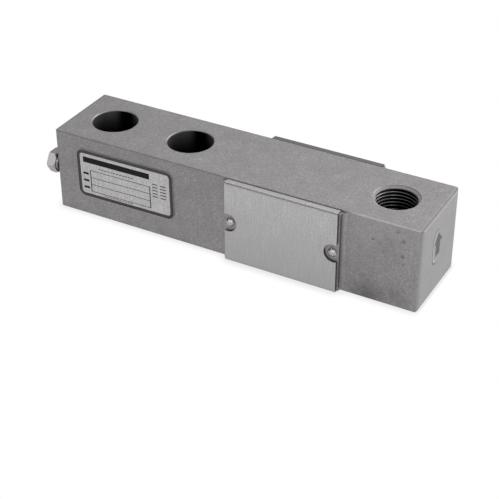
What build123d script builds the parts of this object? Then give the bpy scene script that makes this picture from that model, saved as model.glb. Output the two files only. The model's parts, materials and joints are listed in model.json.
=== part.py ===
from build123d import *
import os

# Cantilever shear beam load cell: a square steel bar that is bolted down through two plain
# holes at its fixed end (-X) and loaded through a tapped hole at its free end (+X).
# Sizes are in millimetres, +Z is up, and the origin is the centre of the beam's underside.

# Beam
beam_length = 171.45
beam_width = 38.1
beam_height = 38.1
end_corner_radius = 2.2
end_edge_radius = 1.4
edge_break = 0.3

# Two mounting holes at the fixed end
mount_hole_radius = 9.9
mount_hole_end_distance = 19.05
mount_hole_pitch = 38.1
mount_hole_chamfer = 0.4

# Load hole at the free end, tapped 3/4-16 UNF and drawn at the thread's major diameter
load_hole_radius = 9.525
load_hole_end_distance = 19.05
load_hole_countersink = 0.25

# Gauge section: a raised pad on each long side, and two opposed pockets that leave a thin web
gauge_centre_to_load_hole = 40.7
pad_length = 52.4
pad_proud = 2.4
pad_end_radius = 2.2
pocket_radius = 13.0
web_thickness = 6.4
fillet_wall_share = 0.95

# Formed sheet cover over each pad, with a gasket between them
sheet_thickness = 0.5
cover_length = 50.8
cover_bend_radius = 0.9
cover_recess = 0.3
flange_clearance = 0.1
flange_tip_gap = 0.4
gasket_thickness = 0.5
gasket_side_inset = 0.4
notch_radius = 4.2
notch_inset = 1.4

# Round-head drive screws at mid-height of the cover's upright edges
screw_inset = 2.1
screw_head_radius = 1.9
screw_head_height = 1.4
screw_rim_height = 0.4
screw_shank_radius = 1.25
screw_shank_length = 4.8
screw_tip_chamfer = 0.4
screw_hole_clearance = 0.05
screw_hole_extra_depth = 0.3

# Foil nameplate on the front face, fixed slightly askew
nameplate_length = 48.4
nameplate_height = 23.0
nameplate_thickness = 0.3
nameplate_corner_radius = 3.0
nameplate_end_distance = 35.5
nameplate_centre_height = 20.95
nameplate_tilt = 0.7

# Cable gland on the fixed end: washer, collar, hexagon and a rubber grommet
gland_side_offset = 13.5
gland_shank_radius = 3.95
gland_shank_length = 6.5
gland_collar_radius = 4.3
gland_collar_length = 1.2
gland_hex_across_flats = 9.525
gland_hex_length = 4.1
hex_outer_chamfer = 0.35
hex_outer_chamfer_length = 0.5
hex_inner_chamfer = 0.7
hex_inner_chamfer_length = 1.0
gland_bore_radius = 2.3
gland_washer_radius = 4.7
gland_washer_thickness = 0.6
gland_fit_clearance = 0.05
grommet_radius = 3.0
grommet_length = 2.4
grommet_recess = 0.2
grommet_bore_radius = 2.0
lead_passage_radius = 1.6

# Strain gauge on each side of the web
gauge_length = 12.0
gauge_height = 8.0
gauge_backing_thickness = 0.2
grid_foil_thickness = 0.1
grid_line_width = 0.28
grid_line_pitch = 0.56
grid_line_length = 3.4
grid_line_count = 6
grid_offset = 3.0
grid_angle = 45

# Terminal board, trim resistor and leads beside each gauge
board_length = 9.0
board_height = 4.0
board_thickness = 0.8
board_below_centre = 8.2
solder_pad_count = 4
solder_pad_pitch = 2.1
solder_pad_size = 1.3
solder_pad_height = 0.4
resistor_length = 4.0
resistor_height = 2.0
resistor_thickness = 0.8
resistor_cap_length = 0.7
resistor_cap_growth = 0.1
resistor_above_centre = 7.6
lead_radius = 0.5
lead_spacing = 0.9
lead_stub = 1.5
lead_side_offset = 9.5
cross_passage_radius = 1.4

# Sealing compound at the bottom of each pocket
potting_depth = 4.0
potting_clearance = 0.1

# Places worked out from the sizes above
half_width = beam_width / 2
mid_height = beam_height / 2
fixed_end_x = -beam_length / 2
first_hole_x = fixed_end_x + mount_hole_end_distance
second_hole_x = first_hole_x + mount_hole_pitch
load_hole_x = beam_length / 2 - load_hole_end_distance
gauge_x = load_hole_x - gauge_centre_to_load_hole
pad_face = half_width + pad_proud
pad_edge_drop = cover_recess + sheet_thickness + flange_clearance
pad_height = beam_height - 2 * pad_edge_drop
cover_inside = pad_face + gasket_thickness
cover_face = cover_inside + sheet_thickness
cover_height = beam_height - 2 * cover_recess
flange_tip = half_width + flange_tip_gap
web_face = web_thickness / 2


def to_front(depth, x, z):
    """Placement whose own +Z looks out of the front face (-Y), at a depth from the mid-plane."""
    return Pos(x, -depth, z) * Rot(90, 0, 0)


def to_rear(part):
    """The same piece on the far side of the beam."""
    return mirror(part, about=Plane.XZ)


def long_bar():
    """Square bar whose ends are rounded in plan and from the side, with broken long edges."""
    plan = RectangleRounded(beam_length, beam_width, end_corner_radius)
    side = RectangleRounded(beam_length, beam_height, end_edge_radius)
    section = Rectangle(beam_width, beam_height)
    section = chamfer(section.vertices(), edge_break)
    bar = extrude(plan, beam_height / 2, both=True)
    bar &= extrude(Plane.XZ * side, beam_width / 2, both=True)
    bar &= extrude(Plane.YZ * section, beam_length / 2, both=True)
    return Pos(0, 0, mid_height) * bar


def gauge_pads():
    """Both raised pads in plan, with a milled radius where each end runs into the side."""
    radius = min(pad_end_radius, pad_proud * fillet_wall_share)
    spine = Rectangle(pad_length + 4 * radius, beam_width)
    outline = spine + Rectangle(pad_length, beam_width + 2 * pad_proud)
    inner_corners = [
        corner
        for corner in outline.vertices()
        if abs(corner.Y) < half_width + pad_proud / 2 and abs(corner.X) < pad_length / 2 + radius
    ]
    outline = fillet(inner_corners, radius)
    return Pos(gauge_x, 0, pad_edge_drop) * extrude(outline, pad_height)


def countersunk_hole(x, radius, countersink):
    """Upright through hole with an equal countersink at each mouth."""
    shaft = Pos(x, 0, mid_height) * Cylinder(radius, beam_height)
    mouth = Cone(radius, radius + countersink, countersink)
    top = Pos(x, 0, beam_height - countersink / 2) * mouth
    bottom = Pos(x, 0, countersink / 2) * Rot(180, 0, 0) * mouth
    return shaft + top + bottom


def gauge_pocket():
    depth = pad_face - web_face
    return to_front(web_face + depth / 2, gauge_x, mid_height) * Cylinder(pocket_radius, depth)


def screw_x_positions():
    reach = cover_length / 2 - screw_inset
    return [gauge_x - reach, gauge_x + reach]


def screw_hole(x):
    depth = screw_shank_length + screw_hole_extra_depth
    hole = Cylinder(screw_shank_radius + screw_hole_clearance, depth)
    return to_front(pad_face - depth / 2, x, mid_height) * hole


def gland_place():
    """Placement on the fixed end face whose own +Z points out of it (-X)."""
    return Pos(fixed_end_x, -gland_side_offset, mid_height) * Rot(0, -90, 0)


def upright_cylinder(radius, bottom, top):
    return Pos(0, 0, (bottom + top) / 2) * Cylinder(radius, top - bottom)


def lead_passages():
    """Gland thread hole, the long passage beside the mounting holes, and the hole in the web."""
    thread_hole = gland_place() * upright_cylinder(
        gland_shank_radius + gland_fit_clearance, -gland_shank_length - grommet_length, 0
    )
    passage_length = gauge_x - fixed_end_x
    passage = gland_place() * upright_cylinder(lead_passage_radius, -passage_length, 0)
    cross_length = web_thickness + 2 * lead_stub
    cross = to_front(0, gauge_x - lead_side_offset, mid_height) * Cylinder(
        cross_passage_radius, cross_length
    )
    return thread_hole + passage + cross


def beam_body():
    body = long_bar() + gauge_pads()
    body -= countersunk_hole(first_hole_x, mount_hole_radius, mount_hole_chamfer)
    body -= countersunk_hole(second_hole_x, mount_hole_radius, mount_hole_chamfer)
    body -= countersunk_hole(load_hole_x, load_hole_radius, load_hole_countersink)
    body -= gauge_pocket() + to_rear(gauge_pocket())
    for x in screw_x_positions():
        body -= screw_hole(x) + to_rear(screw_hole(x))
    return body - lead_passages()


def cover_notches(radius, thickness):
    """Round tools at both upright edges of the cover, in the cover's own plane."""
    reach = cover_length / 2 - notch_inset
    return Pos(-reach, 0) * Cylinder(radius, thickness) + Pos(reach, 0) * Cylinder(radius, thickness)


def cover():
    """Sheet channel that wraps the pad: front wall, bent top flange and bent bottom flange."""
    depth = cover_face - flange_tip
    outer = Pos(-(cover_face + flange_tip) / 2, mid_height) * Rectangle(depth, cover_height)
    outer = fillet(outer.vertices().group_by(Axis.X)[0], cover_bend_radius)
    hollow_depth = cover_inside - half_width
    hollow = Pos(-(cover_inside + half_width) / 2, mid_height) * Rectangle(
        hollow_depth, cover_height - 2 * sheet_thickness
    )
    hollow = fillet(hollow.vertices().group_by(Axis.X)[0], cover_bend_radius - sheet_thickness)
    channel = extrude(Plane.YZ * (outer - hollow), cover_length / 2, both=True)
    notches = to_front(cover_face, gauge_x, mid_height) * cover_notches(
        notch_radius, 4 * sheet_thickness
    )
    return Pos(gauge_x, 0, 0) * channel - notches


def gasket():
    """Flat gasket between pad and cover, open over the pocket and round the screws."""
    height = cover_height - 2 * cover_bend_radius
    sheet = Box(cover_length - 2 * gasket_side_inset, height, gasket_thickness)
    sheet -= Cylinder(pocket_radius, gasket_thickness)
    sheet -= cover_notches(notch_radius + gasket_side_inset, gasket_thickness)
    return to_front(pad_face + gasket_thickness / 2, gauge_x, mid_height) * sheet


def drive_screw(x):
    """Turned screw: domed head on the pad's face, plain shank with a chamfered tip."""
    tip_radius = screw_shank_radius - screw_tip_chamfer
    tip_start = screw_tip_chamfer - screw_shank_length
    dome_rise = screw_head_height - screw_rim_height
    dome_radius = (screw_head_radius**2 + dome_rise**2) / (2 * dome_rise)
    dome = RadiusArc((screw_head_radius, screw_rim_height), (0, screw_head_height), -dome_radius)
    side = Polyline(
        (0, screw_head_height),
        (0, -screw_shank_length),
        (tip_radius, -screw_shank_length),
        (screw_shank_radius, tip_start),
        (screw_shank_radius, 0),
        (screw_head_radius, 0),
        (screw_head_radius, screw_rim_height),
    )
    profile = Plane.XZ * make_face(side + dome)
    return to_front(pad_face, x, mid_height) * revolve(profile, Axis.Z)


def nameplate():
    plate = extrude(
        RectangleRounded(nameplate_length, nameplate_height, nameplate_corner_radius),
        nameplate_thickness,
    )
    place = to_front(half_width, fixed_end_x + nameplate_end_distance, nameplate_centre_height)
    return place * Rot(0, 0, nameplate_tilt) * plate


def gland_washer():
    ring = upright_cylinder(gland_washer_radius, 0, gland_washer_thickness)
    ring -= upright_cylinder(
        gland_shank_radius + gland_fit_clearance, 0, gland_washer_thickness
    )
    return gland_place() * ring


def chamfered_hexagon():
    """Hexagon with flats up and down, its corners turned off at both ends."""
    prism = extrude(
        RegularPolygon(gland_hex_across_flats / 2, 6, major_radius=False, rotation=30),
        gland_hex_length,
    )
    corner_radius = gland_hex_across_flats / 3**0.5
    outline = Polyline(
        (0, 0),
        (corner_radius - hex_inner_chamfer, 0),
        (corner_radius, hex_inner_chamfer_length),
        (corner_radius, gland_hex_length - hex_outer_chamfer_length),
        (corner_radius - hex_outer_chamfer, gland_hex_length),
        (0, gland_hex_length),
        close=True,
    )
    return prism & revolve(Plane.XZ * make_face(outline), Axis.Z)


def gland_body():
    collar_top = gland_washer_thickness + gland_collar_length
    hex_top = collar_top + gland_hex_length
    body = upright_cylinder(gland_shank_radius, -gland_shank_length, gland_washer_thickness)
    body += upright_cylinder(gland_collar_radius, gland_washer_thickness, collar_top)
    body += Pos(0, 0, collar_top) * chamfered_hexagon()
    body -= upright_cylinder(gland_bore_radius, -gland_shank_length, hex_top)
    seat_bottom = hex_top - grommet_recess - grommet_length
    body -= upright_cylinder(grommet_radius + gland_fit_clearance, seat_bottom, hex_top)
    return gland_place() * body


def gland_grommet():
    hex_top = gland_washer_thickness + gland_collar_length + gland_hex_length
    top = hex_top - grommet_recess
    bush = upright_cylinder(grommet_radius, top - grommet_length, top)
    bush -= upright_cylinder(grommet_bore_radius, top - grommet_length, top)
    return gland_place() * bush


def gauge_grid(side):
    """One foil grid: slanted lines joined by a bar at each end, on the left or right half."""
    span = (grid_line_count - 1) * grid_line_pitch
    line = Box(grid_line_length, grid_line_width, grid_foil_thickness)
    grid = Part()
    for index in range(grid_line_count):
        grid += Pos(0, index * grid_line_pitch - span / 2) * line
    bar = Box(grid_line_width, span + grid_line_width, grid_foil_thickness)
    reach = (grid_line_length - grid_line_width) / 2
    grid += Pos(-reach, 0) * bar
    grid += Pos(reach, 0) * bar
    return Pos(side * grid_offset, 0) * Rot(0, 0, side * grid_angle) * grid


def strain_gauge():
    backing = Box(gauge_length, gauge_height, gauge_backing_thickness)
    foil_level = (gauge_backing_thickness + grid_foil_thickness) / 2
    gauge = backing
    for side in (-1, 1):
        gauge += Pos(0, 0, foil_level) * gauge_grid(side)
    return to_front(web_face + gauge_backing_thickness / 2, gauge_x, mid_height) * gauge


def terminal_board():
    board = Box(board_length, board_height, board_thickness)
    level = (board_thickness + solder_pad_height) / 2
    span = (solder_pad_count - 1) * solder_pad_pitch
    for index in range(solder_pad_count):
        pad = Box(solder_pad_size, solder_pad_size, solder_pad_height)
        board += Pos(index * solder_pad_pitch - span / 2, 0, level) * pad
    height = mid_height - board_below_centre
    return to_front(web_face + board_thickness / 2, gauge_x, height) * board


def trim_resistor():
    """Chip resistor: ceramic body with a slightly larger metal cap at each end."""
    cap_thickness = resistor_thickness + resistor_cap_growth
    body = Pos(0, 0, resistor_thickness / 2) * Box(
        resistor_length, resistor_height, resistor_thickness
    )
    cap = Pos(0, 0, cap_thickness / 2) * Box(
        resistor_cap_length, resistor_height + resistor_cap_growth, cap_thickness
    )
    reach = (resistor_length - resistor_cap_length) / 2
    chip = body + Pos(-reach, 0) * cap + Pos(reach, 0) * cap
    return to_front(web_face, gauge_x, mid_height + resistor_above_centre) * chip


def bridge_leads():
    """Four insulated wires side by side through the web, from one pocket to the other."""
    length = web_thickness + 2 * lead_stub
    bundle = Part()
    for across in (-1, 1):
        for up in (-1, 1):
            wire = Cylinder(lead_radius, length)
            bundle += Pos(across * lead_spacing / 2, up * lead_spacing / 2) * wire
    return to_front(0, gauge_x - lead_side_offset, mid_height) * bundle


def potting():
    """Compound that fills the bottom of the pocket round everything bonded there."""
    filling = to_front(web_face + potting_depth / 2, gauge_x, mid_height) * Cylinder(
        pocket_radius - potting_clearance, potting_depth
    )
    return filling - strain_gauge() - terminal_board() - trim_resistor() - bridge_leads()


def all_pieces():
    pieces = {
        "beam_body": beam_body(),
        "nameplate": nameplate(),
        "gland_washer": gland_washer(),
        "gland_body": gland_body(),
        "gland_grommet": gland_grommet(),
        "bridge_leads": bridge_leads(),
    }
    left_x, right_x = screw_x_positions()
    paired = {
        "cover": cover(),
        "gasket": gasket(),
        "left_drive_screw": drive_screw(left_x),
        "right_drive_screw": drive_screw(right_x),
        "strain_gauge": strain_gauge(),
        "terminal_board": terminal_board(),
        "trim_resistor": trim_resistor(),
        "potting": potting(),
    }
    for name, piece in paired.items():
        pieces["front_" + name] = piece
        pieces["rear_" + name] = to_rear(piece)
    return pieces


os.makedirs("parts", exist_ok=True)
for name, piece in all_pieces().items():
    export_step(piece, "parts/" + name + ".step")
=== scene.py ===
import json
import math

import bmesh
import bpy
from mathutils import Matrix, Vector


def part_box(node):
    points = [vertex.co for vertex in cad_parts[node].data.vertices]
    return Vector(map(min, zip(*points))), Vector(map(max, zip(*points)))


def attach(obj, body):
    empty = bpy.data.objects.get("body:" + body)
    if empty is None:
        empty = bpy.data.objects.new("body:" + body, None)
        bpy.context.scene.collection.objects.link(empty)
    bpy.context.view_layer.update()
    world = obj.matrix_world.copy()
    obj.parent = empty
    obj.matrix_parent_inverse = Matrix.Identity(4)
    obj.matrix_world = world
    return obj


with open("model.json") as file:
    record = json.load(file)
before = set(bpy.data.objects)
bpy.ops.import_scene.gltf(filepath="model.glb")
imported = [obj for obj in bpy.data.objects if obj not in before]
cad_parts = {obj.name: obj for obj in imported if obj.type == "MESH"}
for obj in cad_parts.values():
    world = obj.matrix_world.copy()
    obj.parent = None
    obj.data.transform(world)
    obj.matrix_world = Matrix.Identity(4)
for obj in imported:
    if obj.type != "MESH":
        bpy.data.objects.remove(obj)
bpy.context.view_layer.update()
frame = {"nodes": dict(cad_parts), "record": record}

bl_info = {
    "name": "Cantilever beam load cell",
    "version": (1, 0, 0),
    "blender": (4, 5, 0),
    "location": "3D View > Sidebar > Load cell",
    "description": "Finishes, load thread and nameplate print of a steel shear beam load cell",
    "category": "Object",
}

MM = 0.001
WHITE = (1, 1, 1, 1)

# Directions of the beam, its level plane and its middle
ALONG = (1, 0, 0)
ACROSS = (0, 1, 0)
UP = (0, 0, 1)
LEVEL = (1, 1, 0)
MIDDLE = (0, 0, 0)

# Places taken from the frame
beam_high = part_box("beam_body")[1]
cover_low, cover_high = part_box("front_cover")
beam_top = beam_high.z
free_end = beam_high.x
BEAM_HALF_WIDTH = 19.05 * MM
front_face = -BEAM_HALF_WIDTH
mounts = {mount["name"]: mount for mount in frame["record"]["mounts"]}
load_hole = mounts["load_thread"]
mounting_holes = [mounts["mount_hole_a"], mounts["mount_hole_b"]]
load_hole_x = load_hole["pos_m"][0]
load_hole_radius = load_hole["dims"]["r_mm"] * MM
countersink_depth = (beam_top - load_hole["dims"]["length_mm"] * MM) / 2
mouth_radius = load_hole_radius + countersink_depth

# Load thread, a 3/4-16 UNF internal thread. Shares are of its pitch.
THREAD_PITCH = 25.4 / 16 * MM
DEPTH_SHARE = 0.541
FOOT_SHARE = 7 / 8
CREST_SHARE = 1 / 4

# Room light: azimuth, elevation and reach in degrees, and strength
SURROUND_LEVEL = 0.2
SOFT_BOXES = (
    (42, 4, 50, 2.6),
    (285, 8, 60, 1.5),
    (100, 60, 42, 2.5),
    (236, 20, 17, 1.5),
)
LAMP_DIRECTION = (225, 50)
LAMP_SIZE = 0.12
LAMP_POWER = 0.2
FLOOR_HALF = 0.3

# Nameplate on the front face, as the solid is placed
plate_low, plate_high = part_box("nameplate")
plate_centre = (plate_low + plate_high) / 2
PLATE_TILT = math.radians(0.7)
PLATE_LENGTH = 48.4 * MM
PLATE_HEIGHT = 23.0 * MM
PLATE_CORNER = 3.0 * MM
PLATE_BORDER = 1.7 * MM
INK_THICKNESS = 0.02 * MM
INK_MARGIN = 0.1 * MM

# Print on the nameplate, in millimetres from its centre
# Start x, start y, step x, step y, count, block length, block height
PRINT_ROWS = (
    (-4.1, 6.9, 0, 0, 1, 33.6, 2.7),
    (-2.4, 2.0, 0, -3.45, 4, 30.2, 0.24),
    (-17.5, -3.2, 30.2, 0, 2, 0.42, 10.6),
    (-19.9, 0.1, 0, -3.45, 3, 2.8, 1.0),
    (-12.6, 3.7, 1.5, 0, 12, 1.0, 0.35),
    (15.2, 3.8, 0, -1.5, 5, 2.3, 0.4),
    (19.3, 3.8, 0, -1.5, 5, 2.9, 0.4),
    (-10.5, -9.1, 1.5, 0, 10, 1.0, 0.3),
)

# Stamped arrow on the free end, pointing up
ARROW_CENTRE_Y = -1.2 * MM
ARROW_TIP_Z = 28.0 * MM
ARROW_HEIGHT = 10.4 * MM
ARROW_HEAD_HEIGHT = 4.6 * MM
ARROW_HEAD_WIDTH = 8.2 * MM
ARROW_SHAFT_WIDTH = 4.2 * MM
ARROW_SOFTNESS = 0.2 * MM
STAMP_WIDTH = 9.4 * MM
STAMP_HEIGHT = 14.4 * MM
STAMP_CENTRE_Z = 22.0 * MM
STAMP_CORNER = 3.2 * MM
STAMP_LINE = 0.45 * MM
STAMP_SIDE = 2 * MM
# Height of the pressed arrow, where the grain's own height is 1
ARROW_PRESS = -5.0

# Grain sizes in millimetres
FINE_GRAIN = 0.45
COARSE_GRAIN = 1.2
CLOUD_SIZE = 8.0
DRIP_WIDTH = 0.9
DRIP_LENGTH = 26.0
STAIN_GRAIN = 1.4
BRUSH_WIDTH = 0.5
BRUSH_LENGTH = 9.0
MACHINED_GRAIN = 0.5

# Shading of the grain: strength of its relief, and its dark side as a share of the light one
RELIEF_STRENGTH = 0.3
BRUSH_SHADE = 0.5
METAL_SHADE = 0.88
SOLID_SHADE = 0.8

# Stains, and broad darker patches, on the front face: x, z and radius in millimetres, and strength
STAINS = (
    (65.3, 28.7, 0.9, 0.75),
    (68.6, 27.7, 2.8, 0.25),
    (75.6, 35.1, 1.2, 0.45),
    (78.1, 31.2, 1.7, 0.5),
    (78.1, 24.4, 1.4, 0.55),
    (78.3, 20.9, 1.1, 0.45),
    (-49.0, 6.95, 0.7, 0.6),
    # The last three are broad darker patches
    (64.0, 1.0, 15.0, 0.5),
    (76.0, 5.0, 9.0, 0.25),
    (72.0, 27.0, 9.0, 0.16),
)
# Where a stain begins and is full, in shares of its radius
STAIN_OUTSIDE = 1.5
STAIN_INSIDE = 0.4

# Where the drawn tones begin and are full, as distances from the face, edge or hole they follow. Most
# of them place painted light, highlights and shade.
FRONT_DEPTH = (0.6 * MM, 0.3 * MM)
FRONT_HIGH_X = (44 * MM, 58 * MM)
FRONT_HIGH_Z = (14 * MM, 36 * MM)
FRONT_EDGE_X = (52 * MM, 60 * MM)
FRONT_EDGE_WIDTH = (0.5 * MM, 0.3 * MM)
END_EDGE_WIDTH = (1.0 * MM, 0.7 * MM)
END_FACE_DEPTH = (1.2 * MM, 0.1 * MM)
ARROW_DEPTH = (0.2 * MM, 0.1 * MM)
BORE_EDGE = 0.08 * MM
RIM_WIDTH = 0.4 * MM
BORE_LEFT = (2.2 * MM, 8 * MM)
BORE_RIGHT = (1 * MM, 6.5 * MM)
BORE_RIGHT_SHARE = 0.8
BORE_DEPTH = 16 * MM
CREST_HEIGHT = (0.72 * MM, 0.84 * MM)
CREST_SIDE = (2 * MM, 8.5 * MM)
CREST_BELOW_TOP = (13 * MM, 4 * MM)
ROOT_LEFT = (5 * MM, 9.5 * MM)
CONE_SOFTNESS = 0.1 * MM
FOLD_DROP = (0.85 * MM, 0.65 * MM)
FOLD_DEPTH = (0.9 * MM, 0.6 * MM)
FOLD_REAR = 1.0 * MM
FLOOR_INSET = 4 * MM
FLOOR_LIFT = 0.8 * MM

# How strongly each tone is drawn over the metal. Besides the grain, clouds, drips, arrow and
# brushing, they are painted light, highlights and shade.
STRENGTHS = {
    "coarse": 0.4,
    "clouds": 0.4,
    "drips": 0.25,
    "end_face": 0.24,
    "end_grain": 0.14,
    "front_high": 0.08,
    "end_edge": 0.5,
    "arrow": 0.75,
    "bright_line": 0.6,
    "dark_line": 0.9,
    "front_edge": 0.5,
    "rim": 0.18,
    "brush": 0.45,
    "brush_grain": 0.8,
    "fold": 0.85,
    "fold_front": 0.5,
    "fold_top": 0.35,
}

# Drawn tones as sRGB hex colours. Most are painted light, highlights or shade; the stain and arrow
# tones also serve painted shade.
TONES = {
    "pale": "#dddbdc",
    "stain": "#333132",
    # The arrow's tone also draws the painted shade line beside its field
    "arrow": "#3a3839",
    "bright_line": "#e2e0e1",
    # Painted shade and painted light in the holes
    "bore": "#0d0d0e",
    "lit_bore": "#959394",
    # Painted shade, light and highlights in the thread
    "root": "#0a0a0b",
    "lit_root": "#6a6869",
    "deep_crest": "#1c1b1c",
    "crest": "#6c6a6b",
    "side_crest": "#e8e6e7",
    "cone_dark": "#a7a5a6",
    "cone_light": "#bfbdbe",
    "fold": "#504e4f",
}


def linear(hex_colour):
    """Linear RGBA of an sRGB hex colour such as #8c8a8b."""
    channels = []
    for start in (1, 3, 5):
        value = int(hex_colour[start : start + 2], 16) / 255
        if value <= 0.04045:
            channels.append(value / 12.92)
        else:
            channels.append(((value + 0.055) / 1.055) ** 2.4)
    return (*channels, 1.0)


tones = {name: linear(colour) for name, colour in TONES.items()}


def darker(colour, share):
    """The same hue at a share of its brightness."""
    red, green, blue, alpha = colour
    return (red * share, green * share, blue * share, alpha)


def add(tree, kind, inputs=None, out=0, **settings):
    """Adds a node with its settings, and links or sets its inputs. Gives one output."""
    node = tree.nodes.new(kind)
    for name, value in settings.items():
        setattr(node, name, value)
    for key, value in (inputs or {}).items():
        if isinstance(value, bpy.types.NodeSocket):
            tree.links.new(value, node.inputs[key])
        else:
            node.inputs[key].default_value = value
    return node.outputs[out] if node.outputs else node


def all_outputs(socket):
    """Every output of the node that one of its outputs stands for."""
    return socket.node.outputs


def overlap(tree, *masks):
    """Several masks or strengths multiplied together, so only where all are 1 is the result 1."""
    total = masks[0]
    for mask in masks[1:]:
        total = add(tree, "ShaderNodeMath", {0: total, 1: mask}, operation="MULTIPLY")
    return total


def either(tree, *masks):
    """The greatest of several masks."""
    most = masks[0]
    for mask in masks[1:]:
        most = add(tree, "ShaderNodeMath", {0: most, 1: mask}, operation="MAXIMUM")
    return most


def paint(tree, colour, *layers):
    """Colour with layers laid over it in turn, each a mask, its strength and its colour."""
    for mask, strength, tint in layers:
        inputs = {"Factor": overlap(tree, mask, strength), 6: colour, 7: tint}
        colour = add(tree, "ShaderNodeMix", inputs, out=2, data_type="RGBA")
    return colour


def span(tree, place, axes, centre):
    """Distance from a line or plane through a point, in metres. Axes left at 0 don't count."""
    moved = add(tree, "ShaderNodeVectorMath", {0: place, 1: centre}, operation="SUBTRACT")
    kept = add(tree, "ShaderNodeVectorMath", {0: moved, 1: axes}, operation="MULTIPLY")
    return add(tree, "ShaderNodeVectorMath", {0: kept}, out="Value", operation="LENGTH")


def rise(tree, place, way, start, end):
    """0 up to start along a direction, rising smoothly to 1 at end."""
    both = {0: place, 1: way}
    level = add(tree, "ShaderNodeVectorMath", both, out="Value", operation="DOT_PRODUCT")
    inputs = {"Value": level, "From Min": start, "From Max": end}
    return add(tree, "ShaderNodeMapRange", inputs, interpolation_type="SMOOTHSTEP")


def by_distance(tree, place, axes, centre, start, end):
    """0 at one distance from a line or plane, rising smoothly to 1 at another."""
    reach = span(tree, place, axes, centre)
    inputs = {"Value": reach, "From Min": start, "From Max": end}
    return add(tree, "ShaderNodeMapRange", inputs, interpolation_type="SMOOTHSTEP")


def band(tree, value, middle, width):
    """1 where value is at middle, falling smoothly to 0 a width away on either side."""
    sides = []
    for edge in (middle - width, middle + width):
        inputs = {"Value": value, "From Min": edge, "From Max": middle}
        side = add(tree, "ShaderNodeMapRange", inputs, interpolation_type="SMOOTHSTEP")
        sides.append(side)
    return overlap(tree, *sides)


def grain(tree, place, size_mm, detail=2.0, low=0.3, high=0.7):
    """Noise with features of a real size, stretched so that low to high becomes 0 to 1."""
    inputs = {
        "Vector": place,
        "Scale": 1 / (size_mm * MM),
        "Detail": detail,
        "Roughness": 0.55,
    }
    noise = add(tree, "ShaderNodeTexNoise", inputs)
    stretched = {"Value": noise, "From Min": low, "From Max": high}
    return add(tree, "ShaderNodeMapRange", stretched)


def streaks(tree, place, across_mm, along_mm):
    """Grain drawn out up and down, as brushing or drips leave it."""
    stretch = (1, 1, across_mm / along_mm)
    longer = add(tree, "ShaderNodeMapping", {"Vector": place, "Scale": stretch})
    return grain(tree, longer, across_mm)


def new_material(name):
    """Empty node material: (material, tree, object coordinates)."""
    material = bpy.data.materials.new(name)
    material.use_nodes = True
    tree = material.node_tree
    tree.nodes.clear()
    return material, tree, add(tree, "ShaderNodeTexCoord", out="Object")


def finish_material(
    tree, colour, roughness, metallic=0.0, height=None, relief_mm=0.0, gloss=0.5
):
    """Principled surface with an optional relief, linked to the material's output."""
    inputs = {
        "Base Color": colour,
        "Metallic": metallic,
        "Roughness": roughness,
        "Specular IOR Level": gloss,
    }
    if height is not None:
        relief = {"Height": height, "Strength": RELIEF_STRENGTH, "Distance": relief_mm * MM}
        inputs["Normal"] = add(tree, "ShaderNodeBump", relief)
    surface = add(tree, "ShaderNodeBsdfPrincipled", inputs)
    add(tree, "ShaderNodeOutputMaterial", {"Surface": surface})


def give(nodes, material):
    """Replaces the material of CAD nodes."""
    for name in nodes:
        piece = frame["nodes"][name]
        piece.data.materials.clear()
        piece.data.materials.append(material)


def mesh_piece(name, mesh, material):
    """A finished piece that rides on the beam."""
    mesh.materials.clear()
    mesh.materials.append(material)
    piece = bpy.data.objects.new(name, mesh)
    bpy.context.scene.collection.objects.link(piece)
    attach(piece, "root")
    return piece


def evaluated_mesh(tree, inputs):
    """Plain mesh that a geometry tree makes from its named inputs."""
    holder = bpy.data.objects.new("holder", bpy.data.meshes.new("holder"))
    bpy.context.scene.collection.objects.link(holder)
    modifier = holder.modifiers.new("Geometry", "NODES")
    modifier.node_group = tree
    for item in tree.interface.items_tree:
        if item.in_out == "INPUT" and item.name in inputs:
            modifier[item.identifier] = inputs[item.name]
    graph = bpy.context.evaluated_depsgraph_get()
    mesh = bpy.data.meshes.new_from_object(holder.evaluated_get(graph))
    bpy.data.objects.remove(holder)
    return mesh


def loops_mesh(name, loops):
    """Closed mesh through loops of points, each joined to the next and the last to the first."""
    shape = bmesh.new()
    rings = [[shape.verts.new(point) for point in loop] for loop in loops]
    count = len(rings[0])
    for lower, upper in zip(rings, rings[1:] + rings[:1]):
        for index in range(count):
            after = (index + 1) % count
            shape.faces.new((lower[index], lower[after], upper[after], upper[index]))
    bmesh.ops.recalc_face_normals(shape, faces=shape.faces)
    mesh = bpy.data.meshes.new(name)
    shape.to_mesh(mesh)
    shape.free()
    return mesh


def new_geometry_tree(name, inputs):
    """Geometry tree with named inputs: (tree, outputs of its input node)."""
    tree = bpy.data.node_groups.new(name, "GeometryNodeTree")
    for label, kind in inputs:
        tree.interface.new_socket(label, in_out="INPUT", socket_type=kind)
    tree.interface.new_socket("Geometry", in_out="OUTPUT", socket_type="NodeSocketGeometry")
    return tree, all_outputs(add(tree, "NodeGroupInput"))


def finish_tree(tree, geometry, material):
    """Ends a geometry tree: real instances with their material."""
    real = add(tree, "GeometryNodeRealizeInstances", {"Geometry": geometry})
    finished = add(
        tree, "GeometryNodeSetMaterial", {"Geometry": real, "Material": material}
    )
    add(tree, "NodeGroupOutput", {0: finished})


# Materials


def bore_mask(tree, place, radius, centre):
    """1 on the upright wall of a hole, and 0 from its chamfer outwards."""
    return by_distance(tree, place, LEVEL, centre, radius + BORE_EDGE, radius)


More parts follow.
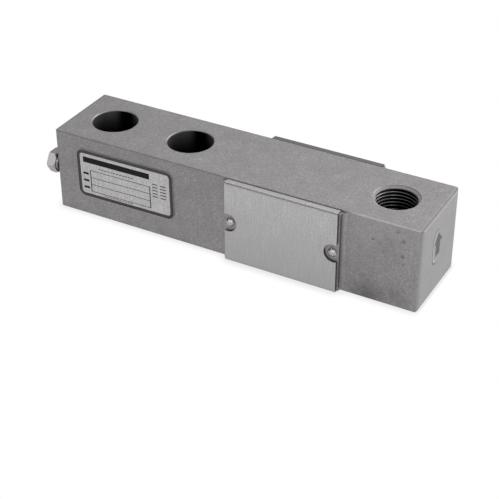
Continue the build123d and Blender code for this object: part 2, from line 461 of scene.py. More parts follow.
def bore_colour(tree, place, centre):
    """Wall in painted shade, with painted light greying it near the mouth, most on the fixed end's
    side.
    """
    left_start, left_full = BORE_LEFT
    right_start, right_full = BORE_RIGHT
    left = rise(tree, place, ALONG, centre[0] - left_start, centre[0] - left_full)
    right = rise(tree, place, ALONG, centre[0] + right_start, centre[0] + right_full)
    mouth = rise(tree, place, UP, beam_top - BORE_DEPTH, beam_top)
    sides = either(tree, left, overlap(tree, right, BORE_RIGHT_SHARE))
    return paint(tree, tones["bore"], (sides, mouth, tones["lit_bore"]))


def front_mask(tree, place):
    """1 on the front face of the bar, without the pad and the cover on it."""
    start, full = FRONT_DEPTH
    return rise(tree, place, ACROSS, front_face + start, front_face + full)


def stain_mask(tree, place):
    """Soft spots on the front face, their edges broken up by noise."""
    ragged = grain(tree, place, STAIN_GRAIN, detail=3.0, low=0.0, high=1.0)
    total = 0.0
    for spot_x, spot_z, radius_mm, strength in STAINS:
        radius = radius_mm * MM
        reach = span(tree, place, (1, 0, 1), (spot_x * MM, 0, spot_z * MM))
        broken = {0: ragged, 1: radius, 2: reach}
        edge = add(tree, "ShaderNodeMath", broken, operation="MULTIPLY_ADD")
        inputs = {
            "Value": edge,
            "From Min": STAIN_OUTSIDE * radius,
            "From Max": STAIN_INSIDE * radius,
        }
        spot = add(tree, "ShaderNodeMapRange", inputs, interpolation_type="SMOOTHSTEP")
        total = either(tree, total, overlap(tree, spot, strength))
    return overlap(tree, total, front_mask(tree, place))


def arrow_shape(tree, place):
    """1 inside the arrow, drawn through the whole beam."""
    centre = (0, ARROW_CENTRE_Y, 0)
    neck = ARROW_TIP_Z - ARROW_HEAD_HEIGHT
    foot = ARROW_TIP_Z - ARROW_HEIGHT
    half_shaft = ARROW_SHAFT_WIDTH / 2
    slope = ARROW_HEAD_WIDTH / 2 / ARROW_HEAD_HEIGHT
    height = add(tree, "ShaderNodeSeparateXYZ", {"Vector": place}, out="Z")
    slanted = {0: height, 1: slope, 2: span(tree, place, ACROSS, centre)}
    outside = add(tree, "ShaderNodeMath", slanted, operation="MULTIPLY_ADD")
    at_tip = slope * ARROW_TIP_Z
    inputs = {"Value": outside, "From Min": at_tip + ARROW_SOFTNESS, "From Max": at_tip}
    head = overlap(
        tree,
        add(tree, "ShaderNodeMapRange", inputs, interpolation_type="SMOOTHSTEP"),
        rise(tree, place, UP, neck - ARROW_SOFTNESS, neck),
    )
    shaft = overlap(
        tree,
        by_distance(tree, place, ACROSS, centre, half_shaft + ARROW_SOFTNESS, half_shaft),
        rise(tree, place, UP, foot - ARROW_SOFTNESS, foot),
        rise(tree, place, UP, neck, neck - ARROW_SOFTNESS),
    )
    return either(tree, head, shaft)


def stamp_reach(tree, place):
    """Distance from the inner rectangle of the arrow's field, whose corners it rounds."""
    sides = {}
    for name, axes, centre, size in (
        ("X", ACROSS, (0, ARROW_CENTRE_Y, 0), STAMP_WIDTH),
        ("Y", UP, (0, 0, STAMP_CENTRE_Z), STAMP_HEIGHT),
    ):
        inputs = {0: span(tree, place, axes, centre), 1: size / 2 - STAMP_CORNER}
        past = add(tree, "ShaderNodeMath", inputs, operation="SUBTRACT")
        sides[name] = either(tree, past, 0.0)
    corner = add(tree, "ShaderNodeCombineXYZ", sides)
    return add(tree, "ShaderNodeVectorMath", {0: corner}, out="Value", operation="LENGTH")


def arrow_masks(tree, place):
    """Stamped arrow on the free end, and the painted highlight and painted shade lines beside its
    field.
    """
    start, full = ARROW_DEPTH
    end = rise(tree, place, ALONG, free_end - start, free_end - full)
    left, right = ARROW_CENTRE_Y - STAMP_SIDE, ARROW_CENTRE_Y + STAMP_SIDE
    pressed = rise(tree, place, ACROSS, right, left)
    around = stamp_reach(tree, place)
    bright = band(tree, around, STAMP_CORNER - STAMP_LINE, STAMP_LINE)
    dark = band(tree, around, STAMP_CORNER + STAMP_LINE, STAMP_LINE)
    lines = [overlap(tree, line, end, pressed) for line in (bright, dark)]
    return overlap(tree, arrow_shape(tree, place), end), *lines


def painted_shade_end_edge_mask(tree, place):
    """1 along the free end's rounded top edge, where painted shade makes it darker."""
    return by_distance(tree, place, (1, 0, 1), (free_end, 0, beam_top), *END_EDGE_WIDTH)


def painted_highlight_front_edge_mask(tree, place):
    """1 on the long front edge near the load hole, drawn as a thin painted highlight."""
    strip = by_distance(tree, place, (0, 1, 1), (0, front_face, beam_top), *FRONT_EDGE_WIDTH)
    return overlap(tree, strip, rise(tree, place, ALONG, *FRONT_EDGE_X))


def painted_light_end_mask(tree, place):
    """1 on the free end and into its rounded corners, where painted light makes it lighter."""
    start, full = END_FACE_DEPTH
    return rise(tree, place, ALONG, free_end - start, free_end - full)


def painted_light_front_mask(tree, place):
    """1 high on the front face beside the load hole, where painted light makes it a little lighter.
    """
    high = rise(tree, place, UP, *FRONT_HIGH_Z)
    beside = rise(tree, place, ALONG, *FRONT_HIGH_X)
    return overlap(tree, front_mask(tree, place), high, beside)


def hole_layers(tree, place):
    """Layers for every hole: a painted highlight on its rim, and painted shade and light on its wall.
    """
    layers = []
    for hole in mounting_holes + [load_hole]:
        radius = hole["dims"]["r_mm"] * MM
        centre = hole["pos_m"]
        rim = bore_mask(tree, place, radius + RIM_WIDTH, centre)
        wall = bore_mask(tree, place, radius, centre)
        # Painted highlight on the rim, then painted shade and light on the wall
        layers.append((rim, STRENGTHS["rim"], tones["pale"]))
        layers.append((wall, 1.0, bore_colour(tree, place, centre)))
    return layers


def beam_material(finish):
    """Electroless nickel on bead-blasted steel: soft grey, fine grain, clouds and drips, with stains,
    painted light on the free end and front, and painted highlights and shade on edges, the stamped
    field and holes.
    """
    material, tree, place = new_material("Satin nickel on bead-blasted steel")
    # Blasting leaves marks of about 0.05 mm. They are drawn coarser, at 0.45 mm, to show.
    fine = grain(tree, place, FINE_GRAIN)
    coarse = grain(tree, place, COARSE_GRAIN)
    clouds = grain(tree, place, CLOUD_SIZE, detail=4.0)
    drips = streaks(tree, place, DRIP_WIDTH, DRIP_LENGTH)
    end_face = painted_light_end_mask(tree, place)
    end_grain = overlap(tree, end_face, fine)
    arrow, bright_line, dark_line = arrow_masks(tree, place)
    light = linear(finish.beam_light)
    dark = linear(finish.beam_dark)
    colour = paint(
        tree,
        dark,
        (fine, 1.0, light),
        (coarse, STRENGTHS["coarse"], dark),
        (clouds, STRENGTHS["clouds"], dark),
        (drips, STRENGTHS["drips"], dark),
        # Painted light on the free end
        (end_face, STRENGTHS["end_face"], tones["pale"]),
        (end_grain, STRENGTHS["end_grain"], dark),
        # Painted light high on the front face beside the load hole
        (painted_light_front_mask(tree, place), STRENGTHS["front_high"], tones["pale"]),
        (stain_mask(tree, place), 1.0, tones["stain"]),
        # Painted shade along the free end's rounded top edge, in the stain's tone
        (painted_shade_end_edge_mask(tree, place), STRENGTHS["end_edge"], tones["stain"]),
        (arrow, STRENGTHS["arrow"], tones["arrow"]),
        # Painted highlight and painted shade lines beside the stamped field
        (bright_line, STRENGTHS["bright_line"], tones["bright_line"]),
        (dark_line, STRENGTHS["dark_line"], tones["arrow"]),
        # Painted highlight along the front top edge near the load hole
        (painted_highlight_front_edge_mask(tree, place), STRENGTHS["front_edge"], tones["bright_line"]),
        # Painted highlights on the hole rims, painted shade and light on their walls
        *hole_layers(tree, place),
    )
    relief = {0: arrow, 1: ARROW_PRESS, 2: fine}
    height = add(tree, "ShaderNodeMath", relief, operation="MULTIPLY_ADD")
    finish_material(
        tree, colour, finish.beam_roughness, metallic=1.0, height=height, relief_mm=0.004
    )
    return material


def thread_material():
    """Cut steel: painted shade makes the roots black and the crests darker deep down; painted light
    makes the crests grey and the roots lighter towards the fixed end, and a painted highlight
    brightens the crests at the sides. The countersink is grey.
    """
    material, tree, place = new_material("Cut steel thread, dark")
    axis = (load_hole_x, 0, 0)
    low_crest, high_crest = (load_hole_radius - height for height in CREST_HEIGHT)
    deep, shallow = (beam_top - drop for drop in CREST_BELOW_TOP)
    left_start, left_full = (load_hole_x - reach for reach in ROOT_LEFT)
    crest = by_distance(tree, place, LEVEL, axis, low_crest, high_crest)
    side = by_distance(tree, place, ALONG, axis, *CREST_SIDE)
    near_mouth = rise(tree, place, UP, deep, shallow)
    left = rise(tree, place, ALONG, left_start, left_full)
    # Painted shade on the crests deep down, painted light near the mouth, painted highlights at the
    # sides
    crest_light_and_shade = paint(
        tree,
        tones["deep_crest"],
        (near_mouth, 1.0, tones["crest"]),
        (side, 1.0, tones["side_crest"]),
    )
    # Painted shade makes the roots black, with painted light towards the fixed end
    root = paint(tree, tones["root"], (left, 1.0, tones["lit_root"]))
    # Tool marks of a few hundredths of a millimetre are drawn coarser, at 0.5 mm, to show.
    fine = grain(tree, place, MACHINED_GRAIN)
    machined = paint(tree, tones["cone_dark"], (fine, 1.0, tones["cone_light"]))
    height = add(tree, "ShaderNodeSeparateXYZ", {"Vector": place}, out="Z")
    slanted = {0: height, 1: span(tree, place, LEVEL, axis)}
    cone = add(tree, "ShaderNodeMath", slanted, operation="SUBTRACT")
    start = beam_top - mouth_radius
    inputs = {"Value": cone, "From Min": start - CONE_SOFTNESS, "From Max": start}
    mouth = add(tree, "ShaderNodeMapRange", inputs, interpolation_type="SMOOTHSTEP")
    spread = {"Value": mouth, "To Min": 0.4, "To Max": 0.85}
    roughness = add(tree, "ShaderNodeMapRange", spread)
    colour = paint(tree, root, (crest, 1.0, crest_light_and_shade), (mouth, 1.0, machined))
    finish_material(tree, colour, roughness, metallic=1.0)
    return material


def fold_mask(tree, place):
    """1 on the bends and the rear flange of a cover, where painted shade makes them darker."""
    drop_start, drop_full = FOLD_DROP
    depth_start, depth_full = FOLD_DEPTH
    half = -cover_low.y
    upper = rise(tree, place, UP, cover_high.z - drop_start, cover_high.z - drop_full)
    outer = by_distance(tree, place, ACROSS, MIDDLE, half - depth_start, half - depth_full)
    rear = rise(tree, place, ACROSS, 0.0, FOLD_REAR)
    front = overlap(tree, outer, STRENGTHS["fold_front"])
    return overlap(tree, upper, either(tree, front, rear, STRENGTHS["fold_top"]))


def brushed_metal(name, colour, roughness, bottom_shade, shaded_folds=False):
    """Sheet or foil with upright brushing, painted shade making it a little darker towards its bottom
    edge. When asked, its bends and rear flange get painted shade too.
    """
    material, tree, place = new_material(name)
    # Brush lines of about 0.03 mm are drawn coarser, at 0.5 mm, to show.
    lines = streaks(tree, place, BRUSH_WIDTH, BRUSH_LENGTH)
    fine = grain(tree, place, BRUSH_WIDTH)
    low = rise(tree, place, UP, beam_top, 0.0)
    light = linear(colour)
    dark = darker(light, BRUSH_SHADE)
    shade = paint(
        tree,
        light,
        (lines, STRENGTHS["brush"], dark),
        (fine, STRENGTHS["brush_grain"], dark),
        # Painted shade towards the bottom edge
        (low, bottom_shade, dark),
    )
    # Painted shade on the bends and the rear flange
    if shaded_folds:
        shade = paint(tree, shade, (fold_mask(tree, place), STRENGTHS["fold"], tones["fold"]))
    finish_material(tree, shade, roughness, metallic=1.0, height=fine, relief_mm=0.004)
    return material


def plain_metal(name, colour, roughness, grain_mm, relief_mm):
    """A metal with a fine even grain in its colour and its relief."""
    material, tree, place = new_material(name)
    # Marks under the plating are finer than a tenth of a millimetre. They are drawn coarser, to show.
    fine = grain(tree, place, grain_mm)
    light = linear(colour)
    shade = paint(tree, darker(light, METAL_SHADE), (fine, 1.0, light))
    finish_material(tree, shade, roughness, metallic=1.0, height=fine, relief_mm=relief_mm)
    return material


def plain_solid(name, colour, roughness, grain_mm, gloss=0.5):
    """A non-metal with a slight mottle."""
    material, tree, place = new_material(name)
    # Moulding and pressing leave a finer texture. It is drawn coarser, to show.
    light = linear(colour)
    mottle = paint(tree, darker(light, SOLID_SHADE), (grain(tree, place, grain_mm), 1.0, light))
    finish_material(tree, mottle, roughness, gloss=gloss)
    return material


def floor_material(stage):
    """White paper: plain to the camera and in reflections, with ambient occlusion as its shadow.
    Under the beam it is painted black as shade, and just past the free end painted light takes the
    shadow away.
    """
    material, tree, place = new_material("White paper")
    reach = {"Distance": stage.contact_reach}
    open_sky = add(tree, "ShaderNodeAmbientOcclusion", reach, out="AO", samples=16)
    inputs = {
        "Value": open_sky,
        "From Min": 0.5,
        "From Max": 1.0,
        "To Min": stage.contact_level,
        "To Max": 1.0,
    }
    level = add(tree, "ShaderNodeMapRange", inputs)
    # Painted shade: the floor under the beam, away from its edges, is black
    sides = (BEAM_HALF_WIDTH - FLOOR_INSET, BEAM_HALF_WIDTH)
    ends = (free_end - FLOOR_INSET, free_end)
    beside = by_distance(tree, place, ACROSS, MIDDLE, *sides)
    past_ends = by_distance(tree, place, ALONG, MIDDLE, *ends)
    # Painted light: the shadow fades out just past the free end
    lifted = rise(tree, place, ALONG, free_end, free_end + FLOOR_LIFT)
    level = overlap(tree, either(tree, level, lifted), either(tree, beside, past_ends))
    path = all_outputs(add(tree, "ShaderNodeLightPath"))
    rays = (path["Is Camera Ray"], path["Is Glossy Ray"], path["Is Transmission Ray"])
    paper = add(tree, "ShaderNodeBsdfDiffuse", {"Color": linear(stage.floor_colour)})
    white = add(tree, "ShaderNodeEmission", {"Color": WHITE, "Strength": level})
    surface = add(tree, "ShaderNodeMixShader", {0: either(tree, *rays), 1: paper, 2: white})
    add(tree, "ShaderNodeOutputMaterial", {"Surface": surface})
    return material


# Load thread


def thread_tree():
    """Helical ridge: a trapezium swept along a spiral, its flat side against the hole's wall."""
    tree, given = new_geometry_tree(
        "Thread ridge",
        (
            ("Pitch", "NodeSocketFloat"),
            ("Turns", "NodeSocketFloat"),
            ("Wall radius", "NodeSocketFloat"),
            ("Depth", "NodeSocketFloat"),
            ("Bottom", "NodeSocketVector"),
            ("Material", "NodeSocketMaterial"),
        ),
    )
    half_depth_in = {0: given["Depth"], 1: -0.5, 2: given["Wall radius"]}
    middle = add(tree, "ShaderNodeMath", half_depth_in, operation="MULTIPLY_ADD")
    sizes = {}
    for part, factor in (
        ("rise", given["Turns"]),
        ("foot", FOOT_SHARE),
        ("crest", CREST_SHARE),
    ):
        inputs = {0: given["Pitch"], 1: factor}
        sizes[part] = add(tree, "ShaderNodeMath", inputs, operation="MULTIPLY")
    path = add(
        tree,
        "GeometryNodeCurveSpiral",
        {
            "Resolution": 64,
            "Rotations": given["Turns"],
            "Start Radius": middle,
            "End Radius": middle,
            "Height": sizes["rise"],
            "Reverse": True,
        },
    )
    upright = add(tree, "GeometryNodeSetCurveNormal", {"Curve": path}, mode="Z_UP")
    section = add(
        tree,
        "GeometryNodeCurvePrimitiveQuadrilateral",
        {
            "Height": given["Depth"],
            "Bottom Width": sizes["foot"],
            "Top Width": sizes["crest"],
            "Offset": 0.0,
        },
        mode="TRAPEZOID",
    )
    turned = add(
        tree,
        "GeometryNodeTransform",
        {"Geometry": section, "Rotation": (0, 0, math.radians(90))},
    )
    ridge = add(
        tree,
        "GeometryNodeCurveToMesh",
        {"Curve": upright, "Profile Curve": turned, "Fill Caps": True},
    )
    placed = add(
        tree, "GeometryNodeTransform", {"Geometry": ridge, "Translation": given["Bottom"]}
    )
    finish_tree(tree, placed, given["Material"])
    return tree


def lathe_mesh(name, profile, centre, steps=96):
    """Closed ring turned about an upright line, from the corners of its section."""
    rings = []
    for radius, height in profile:
        angles = [2 * math.pi * step / steps for step in range(steps)]
        rings.append(
            [
                (centre.x + radius * math.cos(angle), centre.y + radius * math.sin(angle), height)
                for angle in angles
            ]
        )
    return loops_mesh(name, rings)


def mouth_rings(depth, pitch):
    """The first thread at either mouth, cut back to the countersink's cone."""
    crest_radius = load_hole_radius - depth
    cone_depth = mouth_radius - crest_radius
    foot = pitch / 2
    half_crest = pitch * CREST_SHARE / 2
    rings = []
    for level, side in ((beam_top, -1), (0, 1)):
        profile = (
            (load_hole_radius, level + side * countersink_depth),
            (load_hole_radius, level + side * (cone_depth + foot)),
            (crest_radius, level + side * (cone_depth + half_crest)),
            (crest_radius, level + side * cone_depth),
        )
        rings.append(lathe_mesh("mouth_ring", profile, Vector((load_hole_x, 0))))
    return rings


# Nameplate print


def on_plate():
    """Placement of a drawing made flat in X and Y on the tilted nameplate's outer face."""
    turn = Matrix.Rotation(math.radians(90), 4, "X") @ Matrix.Rotation(PLATE_TILT, 4, "Z")
    spot = Vector((plate_centre.x, plate_low.y, plate_centre.z))
    return Matrix.Translation(spot) @ turn


def rounded_outline(length, height, corner, steps=8):
    """Corner points of a rounded rectangle, counterclockwise from the lower right."""
    points = []
    for quarter, (side, level) in enumerate(((1, -1), (1, 1), (-1, 1), (-1, -1))):
        centre = Vector((side * (length / 2 - corner), level * (height / 2 - corner)))
        for step in range(steps + 1):
            angle = math.radians(90) * (quarter - 1 + step / steps)
            points.append(centre + corner * Vector((math.cos(angle), math.sin(angle))))
    return points


def ink_frame(outer, inner):
    """Flat ring between two outlines with the same number of points, with a little body."""
    rings = []
    for outline, height in (
        (outer, 0),
        (outer, INK_THICKNESS),
        (inner, INK_THICKNESS),
        (inner, 0),
    ):
        rings.append([(point.x, point.y, height) for point in outline])
    return loops_mesh("ink_frame", rings)


def block_row_tree():
    """Row of equal flat blocks, for rules, bars and the lines of small print."""
    tree, given = new_geometry_tree(
        "Row of blocks",
        (
            ("Count", "NodeSocketInt"),
            ("Step", "NodeSocketVector"),
            ("Start", "NodeSocketVector"),
            ("Block", "NodeSocketVector"),
            ("Material", "NodeSocketMaterial"),
        ),
    )
    line = add(
        tree,
        "GeometryNodeMeshLine",
        {"Count": given["Count"], "Start Location": given["Start"], "Offset": given["Step"]},
        mode="OFFSET",
    )
    block = add(tree, "GeometryNodeMeshCube", {"Size": given["Block"]})
    row = add(tree, "GeometryNodeInstanceOnPoints", {"Points": line, "Instance": block})
    finish_tree(tree, row, given["Material"])
    return tree


def joined(meshes, name):
    """One mesh from several."""
    shape = bmesh.new()
    for mesh in meshes:
        shape.from_mesh(mesh)
    whole = bpy.data.meshes.new(name)
    shape.to_mesh(whole)
    shape.free()
    return whole


# Properties


class FinishProperties(bpy.types.PropertyGroup):
    """Colours and gloss of the load cell's metals."""

    beam_light: bpy.props.StringProperty(
        name="Beam, light grain", description="sRGB hex colour", default="#a9a7a8"
    )
    beam_dark: bpy.props.StringProperty(
        name="Beam, dark grain", description="sRGB hex colour", default="#777576"
    )
    beam_roughness: bpy.props.FloatProperty(
        name="Beam roughness",
        description="Spread of the plated beam's reflections",
        default=0.48,
        min=0,
        max=1,
        subtype="FACTOR",
    )
    cover_colour: bpy.props.StringProperty(
        name="Covers", description="sRGB hex colour", default="#c9c7c8"
    )


class ThreadProperties(bpy.types.PropertyGroup):
    """Sizes of the load thread."""

    pitch: bpy.props.FloatProperty(
        name="Pitch",
        description="Rise of the thread in one turn",
        default=THREAD_PITCH,
        unit="LENGTH",
        precision=5,
    )
    depth: bpy.props.FloatProperty(
        name="Depth",
        description="Height of the ridge from the wall to its crest",
        default=DEPTH_SHARE * THREAD_PITCH,
        unit="LENGTH",
        precision=5,
    )


class StageProperties(bpy.types.PropertyGroup):
    """Floor and its contact shadow."""

    floor_colour: bpy.props.StringProperty(
        name="Floor", description="sRGB hex colour of the paper", default="#f2f1f0"
    )
    contact_reach: bpy.props.FloatProperty(
        name="Contact shadow reach",
        description="Width of the dark band where the beam meets the floor",
        default=4.0 * MM,
        unit="LENGTH",
    )
    contact_level: bpy.props.FloatProperty(
        name="Contact shadow level",
        description="Brightness of the floor right beside the beam",
        default=0.82,
        min=0,
        max=1,
        subtype="FACTOR",
    )


# Operators


class LOADCELL_OT_beam(bpy.types.Operator):
    """Gives the beam its plated, bead-blasted finish"""

    bl_idname = "loadcell.beam"
    bl_label = "Finish the beam"

    def execute(self, context):
        finish = context.scene.loadcell_finish
        give(["beam_body"], beam_material(finish))
        return {"FINISHED"}


class LOADCELL_OT_thread(bpy.types.Operator):
    """Makes the load thread's ridge in the free end's hole"""

    bl_idname = "loadcell.thread"
    bl_label = "Make the load thread"

    def execute(self, context):
        sizes = context.scene.loadcell_thread
        lowest = countersink_depth + sizes.depth + sizes.pitch * CREST_SHARE / 2
        turns = (beam_top - 2 * lowest) / sizes.pitch
        material = thread_material()
        ridge = evaluated_mesh(
            thread_tree(),
            {
                "Pitch": sizes.pitch,
                "Turns": turns,
                "Wall radius": load_hole_radius,
                "Depth": sizes.depth,
                "Bottom": (load_hole_x, 0, lowest),
                "Material": material,
            },
        )
        mesh = joined([ridge, *mouth_rings(sizes.depth, sizes.pitch)], "load_thread_ridge")
        mesh_piece("load_thread_ridge", mesh, material)
        return {"FINISHED"}


class LOADCELL_OT_covers(bpy.types.Operator):
    """Gives the sheet covers and their gaskets a finish"""

    bl_idname = "loadcell.covers"
    bl_label = "Finish the covers"

    def execute(self, context):
        finish = context.scene.loadcell_finish
        # Stainless sheet, brushed upright: bright and soft, with fine lines.
        # Painted shade darkens its bends, its rear flange and its lower part.
        sheet = brushed_metal(
            "Fine brushed stainless sheet",
            finish.cover_colour,
            roughness=0.42,
            bottom_shade=0.55,
            shaded_folds=True,
        )
        # Rubber cut from sheet: a matt black line round the cover.
        rubber = plain_solid("Black sheet rubber", "#1c1b1c", roughness=0.8, grain_mm=0.5)
        give(["front_cover", "rear_cover"], sheet)
        give(["front_gasket", "rear_gasket"], rubber)
        return {"FINISHED"}


class LOADCELL_OT_screws(bpy.types.Operator):
    """Gives the four drive screws a bright plated finish"""

    bl_idname = "loadcell.screws"
    bl_label = "Finish the drive screws"

    def execute(self, context):
        # Bright zinc on a pressed head: nearly a mirror, with small sharp points of light.
        bright = plain_metal(
            "Bright zinc on steel", "#a9a7a8", roughness=0.1, grain_mm=0.6, relief_mm=0.002
        )
        names = [name for name in frame["nodes"] if name.endswith("drive_screw")]
        give(names, bright)
        return {"FINISHED"}


class LOADCELL_OT_gland(bpy.types.Operator):
    """Gives the cable gland, its washer and its grommet a finish"""

    bl_idname = "loadcell.gland"
    bl_label = "Finish the gland"

    def execute(self, context):
        # Nickel plated on turned brass: grey and smooth, brighter than the blasted beam.
        bright = plain_metal(
            "Satin nickel on brass", "#949293", roughness=0.24, grain_mm=0.5, relief_mm=0.003
        )
        # Pressed fibre: dull and almost black.
        fibre = plain_solid("Dark sealing fibre", "#2b2928", roughness=0.75, grain_mm=0.3)
        # Moulded rubber: black with a faint soft sheen.
        rubber = plain_solid("Moulded black rubber", "#1a1919", roughness=0.6, grain_mm=0.4)
        give(["gland_body"], bright)
        give(["gland_washer"], fibre)
        give(["gland_grommet"], rubber)
        return {"FINISHED"}


class LOADCELL_OT_gauges(bpy.types.Operator):
    """Gives the sealed gauges, boards, leads and compound their finishes"""

    bl_idname = "loadcell.gauges"
    bl_label = "Finish the gauge parts"

    def execute(self, context):
        finishes = (
            # Cast film: amber with a soft gloss
            ("strain_gauge", "Amber polyimide film", "#b0762a", 0.35, "gauge_film"),
            # Pressed laminate: even green, half matt
            ("terminal_board", "Green glass-fibre laminate", "#2c5c38", 0.5, "board_laminate"),
            # Fired ceramic: black and smooth
            ("trim_resistor", "Black chip ceramic", "#232325", 0.4, "resistor_ceramic"),
            # Poured silicone: milky white and smooth
            ("potting", "Milky sealing silicone", "#d8d4c8", 0.45, "potting_silicone"),
        )
        for part, name, colour, roughness, slot in finishes:
            solid = plain_solid(name, colour, roughness, grain_mm=0.4)
            give(["front_" + part, "rear_" + part], solid)
        # Enamel baked on wire: red with a gentle gloss.
        enamel = plain_solid("Red wire enamel", "#9c2420", roughness=0.4, grain_mm=0.4)
        give(["bridge_leads"], enamel)
        return {"FINISHED"}


class LOADCELL_OT_nameplate(bpy.types.Operator):
    """Gives the nameplate its foil finish, dark border and plain ruled fields"""

    bl_idname = "loadcell.nameplate"
    bl_label = "Make the nameplate print"

    def execute(self, context):
        # Anodised foil: pale and satin, with fine upright lines and a little painted shade towards
        # its bottom.
        foil = brushed_metal("Satin anodised foil", "#cccacb", roughness=0.4, bottom_shade=0.1)
        give(["nameplate"], foil)
        # Screen-printed ink: flat, with hardly any reflection.
        ink = {"roughness": 0.7, "grain_mm": 0.3, "gloss": 0.15}
        border_ink = plain_solid("Dark grey plate ink", "#464446", **ink)
        black_ink = plain_solid("Black plate ink", "#151415", **ink)
        outer = rounded_outline(
            PLATE_LENGTH - 2 * INK_MARGIN, PLATE_HEIGHT - 2 * INK_MARGIN, PLATE_CORNER
        )
        inner = rounded_outline(
            PLATE_LENGTH - 2 * PLATE_BORDER, PLATE_HEIGHT - 2 * PLATE_BORDER, PLATE_CORNER / 2
        )
        border = ink_frame(outer, inner)
        border.transform(on_plate())
        mesh_piece("nameplate_border", border, border_ink)
        tree = block_row_tree()
        meshes = []
        for x, y, step_x, step_y, count, length, height in PRINT_ROWS:
            meshes.append(
                evaluated_mesh(
                    tree,
                    {
                        "Count": count,
                        "Step": (step_x * MM, step_y * MM, 0),
                        "Start": (x * MM, y * MM, INK_THICKNESS / 2),
                        "Block": (length * MM, height * MM, INK_THICKNESS),
                        "Material": black_ink,
                    },
                )
            )
        ruling = joined(meshes, "nameplate_ruling")
        ruling.transform(on_plate())
        mesh_piece("nameplate_ruling", ruling, black_ink)
        return {"FINISHED"}


class LOADCELL_OT_stage(bpy.types.Operator):
    """Makes the floor, the soft studio light and the camera"""

    bl_idname = "loadcell.stage"
    bl_label = "Make the stage"

    def execute(self, context):
        stage = context.scene.loadcell_stage
        make_floor(stage)
        make_world()
        make_lamp()
        make_camera()
        context.scene.view_settings.view_transform = "Standard"
        return {"FINISHED"}


def make_floor(stage):
    """Sheet of paper under the beam. Past its edge the background is just as white."""
    mesh = bpy.data.meshes.new("floor")
    quarters = ((-1, -1), (1, -1), (1, 1), (-1, 1))
    corners = [(side * FLOOR_HALF, level * FLOOR_HALF, 0) for side, level in quarters]
    mesh.from_pydata(corners, [], [(0, 1, 2, 3)])
    mesh.materials.append(floor_material(stage))
    floor = bpy.data.objects.new("floor", mesh)
    bpy.context.scene.collection.objects.link(floor)


def direction(azimuth, elevation):
    """Unit vector. Azimuth 0 is towards the load end, and 90 towards the back."""
    turn = math.radians(azimuth)
    tilt = math.radians(elevation)
    return Vector(
        (math.cos(turn) * math.cos(tilt), math.sin(turn) * math.cos(tilt), math.sin(tilt))
    )


def make_world():
    """White to the camera. As light, a dim room with soft boxes, each a patch with a soft edge."""
    world = bpy.data.worlds.new("Soft studio")
    world.use_nodes = True
    tree = world.node_tree
    tree.nodes.clear()
    way = add(tree, "ShaderNodeTexCoord", out="Generated")
    level = SURROUND_LEVEL
    for azimuth, elevation, reach, strength in SOFT_BOXES:
        rim = math.cos(math.radians(reach))
        patch = rise(tree, way, direction(azimuth, elevation), rim, 1.0)
        inputs = {0: patch, 1: strength, 2: level}
        level = add(tree, "ShaderNodeMath", inputs, operation="MULTIPLY_ADD")
    seen = all_outputs(add(tree, "ShaderNodeLightPath"))["Is Camera Ray"]
    shown = either(tree, seen, level)
    light = add(tree, "ShaderNodeBackground", {"Color": WHITE, "Strength": shown})
    add(tree, "ShaderNodeOutputWorld", {"Surface": light})
    bpy.context.scene.world = world


def make_lamp():
    """Small key lamp in front, high on the left, for a soft shadow and bright points."""
    lamp = bpy.data.lights.new("Key lamp", "AREA")
    lamp.size = LAMP_SIZE
    lamp.energy = LAMP_POWER
    holder = bpy.data.objects.new("Key lamp", lamp)
    aim = direction(*LAMP_DIRECTION)
    holder.location = aim
    holder.rotation_euler = (-aim).to_track_quat("-Z", "Y").to_euler()
    bpy.context.scene.collection.objects.link(holder)


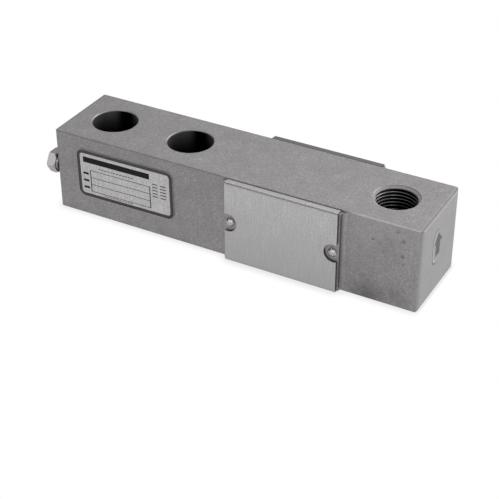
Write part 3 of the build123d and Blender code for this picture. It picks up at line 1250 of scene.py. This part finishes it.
def make_camera():
    """Camera at the photograph's height and angle, with a long lens.

    Its azimuth is turned from straight in front of the nameplate towards the load end.
    """
    azimuth = math.radians(28.887)
    elevation = math.radians(33.537)
    roll = math.radians(-0.166)
    distance = 585.155 * MM
    slide_right = -0.101 * MM
    slide_up = -6.61 * MM
    sensor_width = 36
    focal_length = 97.963
    nearest = 0.01
    back = Vector(
        (
            math.sin(azimuth) * math.cos(elevation),
            -math.cos(azimuth) * math.cos(elevation),
            math.sin(elevation),
        )
    )
    right = Vector((math.cos(azimuth), math.sin(azimuth), 0))
    up = back.cross(right)
    rolled_right = math.cos(roll) * right + math.sin(roll) * up
    rolled_up = -math.sin(roll) * right + math.cos(roll) * up
    spot = slide_right * rolled_right + slide_up * rolled_up + distance * back
    lens = bpy.data.cameras.new("Camera")
    lens.sensor_width = sensor_width
    lens.lens = focal_length
    lens.clip_start = nearest
    camera = bpy.data.objects.new("Camera", lens)
    turn = Matrix((rolled_right, rolled_up, back)).transposed().to_4x4()
    camera.matrix_world = Matrix.Translation(spot) @ turn
    bpy.context.scene.collection.objects.link(camera)
    bpy.context.scene.camera = camera


class LOADCELL_PT_panel(bpy.types.Panel):
    """Lists the load cell's steps"""

    bl_idname = "LOADCELL_PT_panel"
    bl_label = "Load cell"
    bl_space_type = "VIEW_3D"
    bl_region_type = "UI"
    bl_category = "Load cell"

    def draw(self, context):
        for step in steps:
            self.layout.operator(step.bl_idname)


steps = (
    LOADCELL_OT_beam,
    LOADCELL_OT_thread,
    LOADCELL_OT_covers,
    LOADCELL_OT_screws,
    LOADCELL_OT_gland,
    LOADCELL_OT_gauges,
    LOADCELL_OT_nameplate,
    LOADCELL_OT_stage,
)
groups = {
    "loadcell_finish": FinishProperties,
    "loadcell_thread": ThreadProperties,
    "loadcell_stage": StageProperties,
}


def register():
    for group in groups.values():
        bpy.utils.register_class(group)
    for name, group in groups.items():
        setattr(bpy.types.Scene, name, bpy.props.PointerProperty(type=group))
    for step in steps:
        bpy.utils.register_class(step)
    bpy.utils.register_class(LOADCELL_PT_panel)


def unregister():
    bpy.utils.unregister_class(LOADCELL_PT_panel)
    for step in reversed(steps):
        bpy.utils.unregister_class(step)
    for name, group in groups.items():
        delattr(bpy.types.Scene, name)
        bpy.utils.unregister_class(group)


def main():
    register()
    for step in steps:
        family, name = step.bl_idname.split(".")
        getattr(getattr(bpy.ops, family), name)()


if __name__ == "__main__":
    main()
